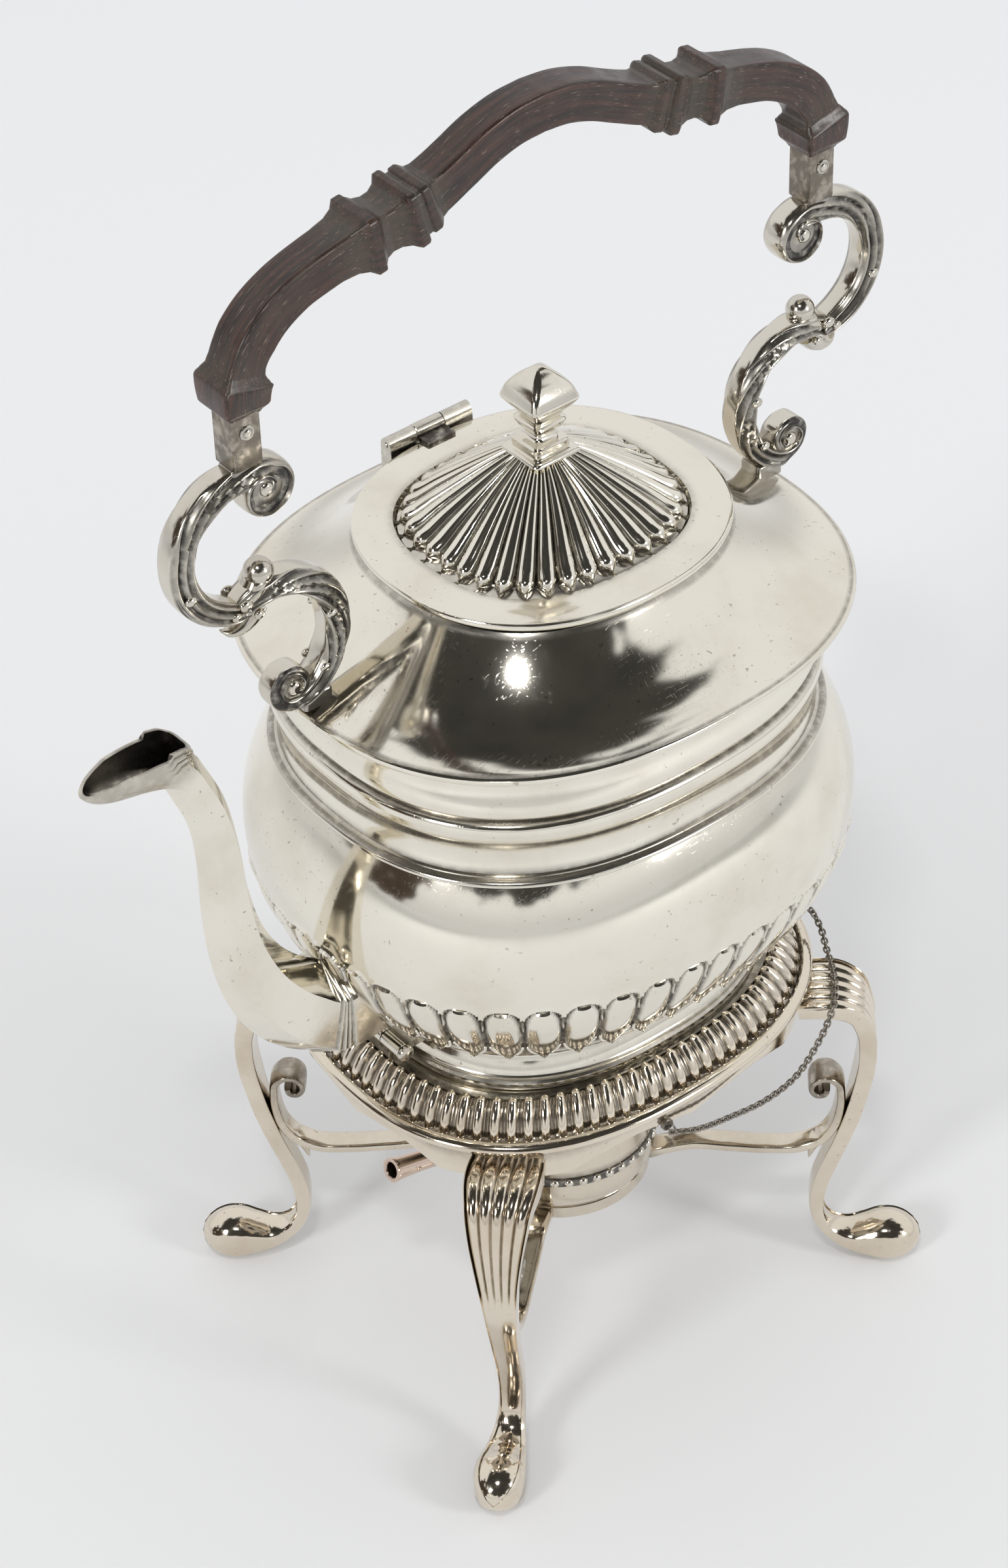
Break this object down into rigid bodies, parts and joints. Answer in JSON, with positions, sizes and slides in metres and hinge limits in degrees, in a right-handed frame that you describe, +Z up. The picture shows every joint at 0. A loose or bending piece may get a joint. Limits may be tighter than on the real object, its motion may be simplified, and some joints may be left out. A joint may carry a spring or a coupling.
{
  "type": "spirit kettle on stand",
  "caption": "Oval kettle with hinged lid, scroll brackets and a carved grip, tilting on a legged stand that holds a lift-out spirit burner.",
  "frame": {"origin": "centre of the whole object's plan, on the surface that its feet stand on", "axes": "+Z up; X along the spout and handle with the spout towards -X; the lid is hinged on the +Y side"},
  "size_m": [0.229, 0.1296, 0.3488],
  "materials": {
    "silver": "polished silver, lightly worn, with darker recesses",
    "dark_silver": "silver chain, darkened",
    "warm_silver": "silver with the copper showing through",
    "rosewood": "dark carved rosewood, oiled, with pale pores",
    "wick_cotton": "plaited cotton wick"
  },
  "bodies": {
    "stand": {"stand_rim": "silver", "gadroon_band": "silver", "platform": "silver", "apron": "silver", "leg_1": "silver", "leg_2": "silver", "leg_3": "silver", "leg_4": "silver", "scroll_1": "silver", "scroll_2": "silver", "scroll_3": "silver", "scroll_4": "silver", "burner_ring": "silver", "chain_loop": "silver", "pin_chain": "dark_silver"},
    "kettle": {"kettle_body": "silver", "top_plate": "silver", "foot_ring": "silver", "spout": "silver", "spout_ferrule": "silver", "front_bracket": "silver", "back_bracket": "silver", "front_socket": "silver", "back_socket": "silver", "handle_grip": "rosewood", "handle_rivets": "silver", "lid_hinge_pin": "silver"},
    "kettle_lid": {"lid": "silver", "finial": "silver", "finial_nut": "silver"},
    "tilt_pin": {"front_pin": "silver"},
    "lock_pin": {"back_pin": "silver"},
    "burner": {"burner_bowl": "silver", "bead_girdle": "silver", "burner_cover": "silver", "wick_tube": "silver", "wick": "wick_cotton", "handle_tube": "warm_silver", "tube_rivet": "warm_silver"},
    "snuffer": {"snuffer_cap": "silver"}
  },
  "joints": [
    {"name": "kettle_tilt", "type": "hinge", "parent": "stand", "child": "kettle", "pos_m": [-0.0412, 0, 0.1126], "axis": [0, -1, 0], "range_deg": [0, 45]},
    {"name": "lid_open", "type": "hinge", "parent": "kettle", "child": "kettle_lid", "pos_m": [0.013, 0.0424, 0.2412], "axis": [-1, 0, 0], "range_deg": [0, 100]},
    {"name": "front_pin_pull", "type": "slide", "parent": "stand", "child": "tilt_pin", "axis": [0, -1, 0], "range_m": [0, 0.022]},
    {"name": "back_pin_push", "type": "slide", "parent": "stand", "child": "lock_pin", "axis": [0, 1, 0], "range_m": [0, 0.014], "deforming": ["pin_chain"]},
    {"name": "burner_lift", "type": "slide", "parent": "stand", "child": "burner", "axis": [0, 0, 1], "range_m": [0, 0.012]},
    {"name": "snuffer_lift", "type": "slide", "parent": "burner", "child": "snuffer", "axis": [0, 0, 1], "range_m": [0, 0.014]}
  ]
}
